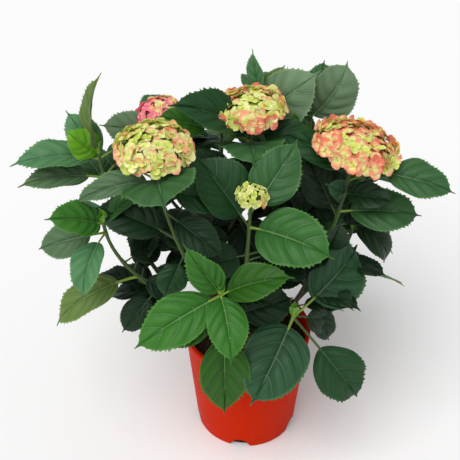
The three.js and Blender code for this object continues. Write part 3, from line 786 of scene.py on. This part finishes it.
caneHeap = newHeap()
for name, (azimuth, fork) in canes.items():
    growLimb(caneHeap, canePath(azimuth, fork), caneLook["nodes"], caneLook, rng)
footHeights = np.linspace(-stump["sunk"], stump["height"] * stump["shoulder"], stump["rows"])
rise = np.clip(footHeights / footHeights[-1], 0, 1)
stumpRadii = stump["neckRadius"] + (stump["footRadius"] - stump["neckRadius"]) * (1 - rise) ** 2
stumpRadii[-1] *= stump["crown"]
stumpPath = np.stack([0 * footHeights, 0 * footHeights, soilTop + 2 + footHeights], axis=1)
burl = 1 + stump["burl"] * np.sin(fullTurn(stump["sides"]) * 5 + 1)[None, :] * (1 - rise)[:, None]
burl = burl + rng.normal(0, stump["lumps"], burl.shape)
stumpBark = barkStreaks(stump["rows"] - 1, stump["sides"], rng)
tube(caneHeap, stumpPath, stumpRadii, stump["sides"], stumpBark, burl)
settle("canes", caneHeap, ["stump"] + ["cane-" + name for name in canes])
print("stems and canes grown")


# flower heads, each on the shoot of its name; the dome's three heights are its middle above the tip,
# its top above the middle and its foot below
heads = {
    "left-front": {"across": 94, "tall": 60, "dome": (28, 20, 0), "loose": 0.16, "florets": 84,
                   "size": (18, 23), "tilt": (-90, 84), "palette": "green", "core": "flowerCoreGreen"},
    "left-back": {"across": 77, "tall": 50, "dome": (18, 20, 6), "loose": 0.18, "florets": 62,
                  "size": (16, 21), "tilt": (180, 63), "palette": "rose", "core": "flowerCoreRose"},
    "centre": {"across": 99, "tall": 50, "dome": (20, 14, 0), "loose": 0.16, "florets": 76,
               "size": (18, 24), "tilt": (-150, 82), "palette": "rimmed", "core": "flowerCoreGreen"},
    "small": {"across": 47, "tall": 28, "dome": (12, 12, 4), "loose": 0.45, "florets": 46,
              "size": (9, 13), "tilt": (-60, 82), "palette": "bud", "core": "flowerCoreDeep"},
    "right": {"across": 115, "tall": 56, "dome": (21, 12, 0), "loose": 0.16, "florets": 104,
              "size": (18, 24), "tilt": (-20, 78), "palette": "coral", "core": "flowerCoreRose"},
}

# A floret's colours run from its eye to its rim. Each palette deals these out by weight.
petalRows = {
    "leek": ("leek", "leek", "leek", "lime", "lime"),
    "lime": ("leek", "lime", "lime", "lime", "butter"),
    "cream": ("lime", "butter", "butter", "cream", "cream"),
    "tipped": ("leek", "lime", "butter", "blush", "salmon"),
    "blushed": ("lime", "butter", "blush", "salmon", "salmon"),
    "salmon": ("lime", "butter", "blush", "salmon", "coral"),
    "coral": ("lime", "blush", "salmon", "coral", "coral"),
    "pink": ("blush", "pink", "pink", "pink", "rose"),
    "rose": ("salmon", "rose", "rose", "rose", "rose"),
}
palettes = {
    "green": {"lime": 6, "leek": 2, "cream": 4, "tipped": 3},
    "rose": {"rose": 3, "pink": 4, "salmon": 1, "blushed": 1, "cream": 1},
    "rimmed": {"lime": 3, "leek": 1, "cream": 5, "tipped": 2, "blushed": 1},
    "bud": {"lime": 3, "leek": 1, "cream": 5},
    "coral": {"coral": 3, "salmon": 3, "blushed": 4, "tipped": 5, "lime": 4},
}
sepal = {"columns": (-1, -0.6, -0.2, 0.2, 0.6, 1), "rows": (0, 0.15, 0.35, 0.55, 0.75, 0.9, 1),
         "outline": (0.12, 0.45, 0.85, 1.0, 0.88, 0.54, 0.08), "thick": 0.25,
         "spread": (0.45, 0.56), "cup": (0, 0.34), "length": (0.82, 1.16), "ripple": 0.03}
floret = {"sepals": 4, "swing": 0.12, "roll": 0.25, "overlap": 0.35, "mixed": 0.3,
          "eyeHeights": (0.0, 0.5, 1.0, 1.4), "eyeRadii": (0.4, 0.6, 0.55, 0.25), "eyeScale": 15}
bloom = {
    "inset": 4.5,  # the florets' middles stand this far inside the rim
    "sweep": 1.18,  # the rows of florets go down past the widest part
    "lowest": -0.4,
    "spiral": 2.399963,  # the golden angle, so that no rows show
    "stray": 0.12, "strayHeight": 0.02, "depth": (0.95, 1.03),
    "face": 36, "lookUp": 0.14,  # the dome whose normals the florets take, and how far they turn up
    "rimBelow": 0.1, "rimScale": 1.18, "topScale": 0.95,  # florets round the rim are the widest
    "rootUp": 0.16, "rootOut": 0.25, "stalkRadii": (0.9, 0.6), "stalkSides": 4,
}
core = {"rows": 14, "sides": 24, "span": (-0.8, 1.5), "share": 0.8, "foot": 0.66, "top": 0.82, "lumps": 0.05}


# One sepal from its claw to its rim in a unit length: rounded, broad and cupped.
def sepalGrid(spread, cup, rng):
    u = np.array(sepal["rows"])[:, None]
    v = np.array(sepal["columns"])[None, :]
    y = v * np.array(sepal["outline"])[:, None] * spread
    x = u - 0.05 * v ** 2 * (u > 0.3)  # corners drawn back, so that the rim is round
    z = cup * (u ** 1.6) - 0.28 * cup * (u ** 4) + 0.14 * y ** 2 / max(spread, 0.1)  # the rim rolls back
    z = z + sepal["ripple"] * np.sin(9 * y + rng.uniform(0, 6))
    return np.stack([x + 0 * y, y, z + 0 * y], axis=-1)


def growFloret(heap, rng, place, normal, spin, width, kind, neighbour):
    across = unit(np.cross(normal, heading(rng.uniform(0, 360), 20)))
    beside = np.cross(normal, across)
    for k in range(floret["sepals"]):
        angle = spin + k * 2 * math.pi / floret["sepals"] + rng.uniform(-floret["swing"], floret["swing"])
        reach = width / 2 * rng.uniform(*sepal["length"])
        grid = sepalGrid(rng.uniform(*sepal["spread"]), rng.uniform(*sepal["cup"]), rng) * reach
        grid[..., 2] += floret["overlap"] * (k % 2)
        ahead = across * math.cos(angle) + beside * math.sin(angle)
        aside = unit(np.cross(normal, ahead) + normal * rng.uniform(-floret["roll"], floret["roll"]))
        above = np.cross(ahead, aside)
        top = place + grid[..., :1] * ahead + grid[..., 1:2] * aside + grid[..., 2:] * above
        tones = petalRows[neighbour if rng.random() < floret["mixed"] else kind]
        slope = unit(np.cross(np.gradient(top, axis=0), np.gradient(top, axis=1)))
        count, wide = top.shape[:2]
        points, faces, rim = closedSheet(top, top - slope * sepal["thick"], weave(count, wide)[:, ::-1])
        rowFinish = [finishNumber["petal-" + tones[min(i, len(tones) - 1)]] for i in range(count - 1)]
        pour(heap, points, faces, np.tile(np.repeat(rowFinish, wide - 1), 2), rim)
    # the closed eye of the floret
    eye = np.stack([place + normal * height for height in floret["eyeHeights"]])
    tube(heap, eye, np.array(floret["eyeRadii"]) * width / floret["eyeScale"], 6, "petal-lime")


def growHead(name, head, rng):
    heap = newHeap()
    tip = np.array(shoots["bloom-" + name]["tip"], float)
    axis = heading(*head["tilt"])
    first = unit(np.cross(axis, [0, 1.0, 0.0]))
    second = np.cross(axis, first)
    middle, upper, lower = head["dome"]
    centre = tip + axis * middle
    half = head["across"] / 2 - bloom["inset"]
    kinds = list(palettes[head["palette"]])
    weights = np.array(list(palettes[head["palette"]].values()), float)
    for k in range(head["florets"]):
        high = 1 - bloom["sweep"] * (k + 0.5) / head["florets"]
        high = np.clip(high + rng.normal(0, bloom["strayHeight"]), bloom["lowest"], 1)
        angle = bloom["spiral"] * k + rng.normal(0, bloom["stray"])
        flat = math.sqrt(max(0, 1 - high * high))
        out = first * math.cos(angle) * flat + second * math.sin(angle) * flat
        depth = rng.uniform(*bloom["depth"])
        place = centre + out * half * depth + axis * high * (upper if high > 0 else lower) * depth
        normal = unit(out * bloom["face"] / half + axis * (high + bloom["lookUp"])
                      + rng.normal(0, head["loose"], 3))
        scale = bloom["rimScale"] if high < bloom["rimBelow"] else bloom["topScale"]
        width = rng.uniform(*head["size"]) * scale
        kind, neighbour = (kinds[n] for n in rng.choice(len(kinds), 2, p=weights / weights.sum()))
        kind = tint(head, kind, out, high, rng)
        growFloret(heap, rng, place, normal, rng.uniform(0, math.pi), width, kind, neighbour)
        root = tip + axis * head["tall"] * bloom["rootUp"] + out * half * bloom["rootOut"]
        # its own small stalk comes up under it
        pedicel = bezier(root, root + (place - root) * 0.4 + axis * 2, place - normal * 3.5,
                         place - normal * 0.3, 4)
        tube(heap, pedicel, np.linspace(*bloom["stalkRadii"], 4), bloom["stalkSides"], "flowerStalk")
    # the crowded stalks inside, as one lumpy core under the florets
    rings = []
    for rise in np.linspace(*core["span"], core["rows"]):
        bump = 1 + rng.normal(0, core["lumps"], (core["sides"], 1))
        ring = circle(core["sides"], first, second) * half * core["share"] * math.cos(rise) * bump
        tall = math.sin(rise) * (upper if rise > 0 else lower)
        rings.append(centre + ring + axis * tall * core["share"])
    foot = centre - axis * lower * core["foot"]
    closedSkin(heap, rings, foot, centre + axis * upper * core["top"], head["core"])
    settle("blossom-" + name, heap, ["flower-head-" + name])


# Where on a head the colour gathers: high runs from its rim at 0 to its top at 1, and out[0] from its
# left side at -1 to its right side at 1.
def tint(head, kind, out, high, rng):
    palette = head["palette"]
    if palette == "rimmed" and high < 0.15 and rng.random() < 0.75:
        return ("coral", "coral", "salmon")[rng.integers(3)]
    if palette == "bud" and out[0] > 0.3 and high < 0.3 and rng.random() < 0.5:
        return "salmon"
    if palette == "rose" and out[0] < 0.1:  # rose on the left, cream on the right
        return "rose" if rng.random() < 0.7 else "pink"
    if palette == "rose" and rng.random() < 0.7:
        return ("cream", "cream", "blushed")[rng.integers(3)]
    if palette == "green" and abs(out[0] + 0.15) > 0.6 and rng.random() < 0.6:
        return ("tipped", "tipped", "blushed")[rng.integers(3)]
    return kind


for name, head in heads.items():
    growHead(name, head, rng)
print("flower heads grown")


# Injection-moulded polypropylene pot: a smooth satin skin with a faint orange peel.
potSkin = {"roughness": (0.40, 0.5), "patch": 40, "grain": 1.2, "strength": 0.12, "depth": 0.15, "ior": 1.49,
           "specular": 0.03}
pot = {
    "colour": "#c42500", "height": 180.0, "baseRadius": 77.0, "bodyRadius": 91.5, "collarRadius": 94.0,
    "collarHeight": 12.0, "wall": 2.4, "floor": 3.0, "drainRadius": 8.0, "lipWidth": 3.0, "segments": 144,
    "sharpFrom": 32.0,  # degrees between faces, above which an edge is crisp
    "notches": 5, "notchWidth": 32.0, "notchHeight": 16.0, "notchCurve": 2.6, "notchSteps": 17,
    "firstNotch": -98.0, "cutFrom": 66.0, "cutTo": 89.0, "cutBelow": 3.0,
}


# a closed outline with its corners rounded; each corner is (radius, height, rounding)
def roundedOutline(corners, steps=5):
    points = []
    count = len(corners)
    for k, (x, z, rounding) in enumerate(corners):
        here = np.array([x, z])
        before = np.array(corners[k - 1][:2]) - here
        after = np.array(corners[(k + 1) % count][:2]) - here
        if rounding == 0:
            points.append(here)
            continue
        longest = 0.45 * min(np.linalg.norm(before), np.linalg.norm(after))  # under half of either side
        reach = min(rounding, longest)
        start, end = here + unit(before) * reach, here + unit(after) * reach
        for t in np.linspace(0, 1, steps):
            points.append((1 - t) ** 2 * start + 2 * t * (1 - t) * here + t ** 2 * end)
    return np.array(points)


def levelRing(radius, height, turn):
    return np.stack([radius * np.cos(turn), radius * np.sin(turn), height + 0 * turn], axis=1)


# a turned solid; its last ring of points joins its first
def turnSolid(heap, rings, finish, inward=False):
    points = np.concatenate(rings)
    faces = weave(len(rings) + 1, len(rings[0]), closed=True) % len(points)
    pour(heap, points, faces[:, ::-1] if inward else faces, finish)


def cutNotches(piece):
    for k in range(pot["notches"]):
        half, top = pot["notchWidth"] / 2, pot["notchHeight"]
        bend = np.linspace(-1, 1, pot["notchSteps"])
        arch = np.stack([bend * half, top * (1 - np.abs(bend) ** pot["notchCurve"])], axis=1)
        outline = np.concatenate([[[-half, -pot["cutBelow"]]], arch, [[half, -pot["cutBelow"]]]])
        turn = math.radians(pot["firstNotch"] + 360 / pot["notches"] * k)
        ahead = np.array([math.cos(turn), math.sin(turn), 0])
        aside = np.array([-math.sin(turn), math.cos(turn), 0])
        cutter = bmesh.new()
        rings = []
        for radius in (pot["cutFrom"], pot["cutTo"]):
            points = [(ahead * radius + aside * x + np.array([0, 0, z])) * millimetre for x, z in outline]
            rings.append([cutter.verts.new(point) for point in points])
        count = len(outline)
        for i in range(count):
            beside = (i + 1) % count
            cutter.faces.new([rings[0][i], rings[0][beside], rings[1][beside], rings[1][i]])
        cutter.faces.new(rings[0][::-1])
        cutter.faces.new(rings[1])
        bmesh.ops.recalc_face_normals(cutter, faces=cutter.faces)
        mesh = bpy.data.meshes.new("notchCutter")
        cutter.to_mesh(mesh)
        cutter.free()
        tool = addObject("notchCutter", mesh)
        cut = piece.modifiers.new("notch", "BOOLEAN")
        cut.object = tool
        cut.operation = "DIFFERENCE"
        cut.solver = "EXACT"
        bpy.context.view_layer.update()
        cutPiece = piece.evaluated_get(bpy.context.evaluated_depsgraph_get())
        shaped = bpy.data.meshes.new_from_object(cutPiece)
        piece.modifiers.clear()
        piece.data = shaped
        bpy.data.objects.remove(tool)


def softenByAngle(piece, degrees):
    mesh = bmesh.new()
    mesh.from_mesh(piece.data)
    for edge in mesh.edges:
        edge.smooth = edge.calc_face_angle(0) < math.radians(degrees)
    for face in mesh.faces:
        face.smooth = True
    mesh.to_mesh(piece.data)
    mesh.free()


addFinish("mouldedPolypropylene", pot["colour"], potSkin)
collarFoot = pot["height"] - pot["collarHeight"]
innerCollar = pot["collarRadius"] - pot["lipWidth"] - pot["wall"]
potOutline = roundedOutline([
    (pot["drainRadius"], 0, 0), (pot["baseRadius"], 0, 3), (pot["bodyRadius"], collarFoot - 2, 2.5),
    (pot["collarRadius"] - 0.5, collarFoot + 1.5, 2.5), (pot["collarRadius"], pot["height"], 1.8),
    (innerCollar, pot["height"], 1.2), (innerCollar - 1, pot["height"] - 3, 2),
    (pot["bodyRadius"] - pot["wall"], collarFoot, 4), (pot["baseRadius"] - pot["wall"], pot["floor"], 3),
    (pot["drainRadius"], pot["floor"], 0)])
potHeap = newHeap()
turn = fullTurn(pot["segments"])
potRings = [levelRing(radius, height, turn) for radius, height in potOutline]
turnSolid(potHeap, potRings, "mouldedPolypropylene")
potPiece = settle("plant-pot", potHeap, ["pot"])
cutNotches(potPiece)
softenByAngle(potPiece, pot["sharpFrom"])
print("pot turned")

# Peat compost: a matt, dark, crumbly surface that swallows the light.
compostSkin = {"roughness": (0.85, 0.98), "patch": 6, "grain": 1.6, "strength": 1.0, "depth": 1.2,
               "ior": 1.4, "specular": 0.2}
compost = {"colour": "#3a2a1e", "crumbColour": "#55402d", "radius": 87.2, "footRadius": 73.0,
           "sunk": 4.0, "mound": 5.0, "moundCurve": 2.2, "lumps": 0.55, "swell": 0.9, "rings": 34,
           "segments": 96, "crumbs": 620, "crumbSize": (0.9, 3.2), "crumbSquash": (0.45, 1.0)}
addFinish("pottingCompost", compost["colour"], compostSkin)
addFinish("compostCrumb", compost["crumbColour"], compostSkin)


def soilHeight(radius):
    share = radius / compost["radius"]
    return soilTop - compost["sunk"] + compost["mound"] * np.clip(1 - share ** compost["moundCurve"], 0, 1)


soilHeap = newHeap()
turn = fullTurn(compost["segments"])
soilRings = []
for radius in compost["radius"] * np.linspace(0.02, 1, compost["rings"]):
    lumps = rng.normal(0, compost["lumps"], len(turn)) + compost["swell"] * np.sin(turn * 3 + radius * 0.11)
    soilRings.append(levelRing(radius, soilHeight(radius) + lumps, turn))
for radius in (compost["footRadius"], 1.5):
    soilRings.append(levelRing(radius, pot["floor"] + 1, turn))
turnSolid(soilHeap, soilRings, "pottingCompost", inward=True)
cube = np.array([[x, y, z] for x in (-1, 1) for y in (-1, 1) for z in (-1, 1)], float)
cubeFaces = np.array([[0, 1, 3, 2], [4, 6, 7, 5], [0, 4, 5, 1], [2, 3, 7, 6], [0, 2, 6, 4], [1, 5, 7, 3]])
for k in range(compost["crumbs"]):
    radius = compost["radius"] * math.sqrt(rng.uniform(0.04, 0.95))
    angle = rng.uniform(0, 2 * math.pi)
    size = rng.uniform(*compost["crumbSize"]) / 2
    lump = cube * rng.uniform(*compost["crumbSquash"], cube.shape) * size
    spin = rng.uniform(0, 6)
    turned = np.stack([lump[:, 0] * math.cos(spin) - lump[:, 1] * math.sin(spin),
                       lump[:, 0] * math.sin(spin) + lump[:, 1] * math.cos(spin), lump[:, 2]], axis=1)
    at = np.array([radius * math.cos(angle), radius * math.sin(angle), soilHeight(radius) + size * 0.4])
    finish = "compostCrumb" if k % 3 else "pottingCompost"
    pour(soilHeap, turned + at, cubeFaces, finish, np.ones(len(cube), bool))
settle("compost", soilHeap, ["root-ball"])
print("compost filled")


# studio: a pale plain floor, a big soft light high on the left and a bright even room
studio = {"floorColour": "#f2f2f2", "floorSize": 12.0, "roomStrength": 0.47, "roomColour": "#ffffff",
          "lightStrength": 2.4, "lightSpread": 50.0, "lightFrom": (-122, 56)}

# Floor of rolled matt emulsion on board, so smooth that only the soft shadow shows.
floorSkin = {"roughness": (0.75, 0.85), "patch": 200, "grain": 3, "strength": 0.03, "depth": 0.2,
             "ior": 1.45, "specular": 0.2}
floorMesh = bpy.data.meshes.new("floor")
edge = studio["floorSize"] / 2
floorCorners = [(-edge, -edge, 0), (edge, -edge, 0), (edge, edge, 0), (-edge, edge, 0)]
floorMesh.from_pydata(floorCorners, [], [(0, 1, 2, 3)])
floorMesh.materials.append(makeSurface("paintedStudioFloor", studio["floorColour"], floorSkin))
floor = addObject("floor", floorMesh)

world = bpy.data.worlds.new("room")
world.use_nodes = True
world.node_tree.nodes["Background"].inputs["Color"].default_value = linear(studio["roomColour"])
world.node_tree.nodes["Background"].inputs["Strength"].default_value = studio["roomStrength"]
bpy.context.scene.world = world

lightData = bpy.data.lights.new("softLight", "SUN")
lightData.energy = studio["lightStrength"]
lightData.angle = math.radians(studio["lightSpread"])
light = addObject("softLight", lightData)
lightAzimuth, lightRise = studio["lightFrom"]
light.rotation_euler = (math.radians(90 - lightRise), 0, math.radians(lightAzimuth + 90))
bpy.context.scene.view_settings.view_transform = "Standard"
print("studio lit")
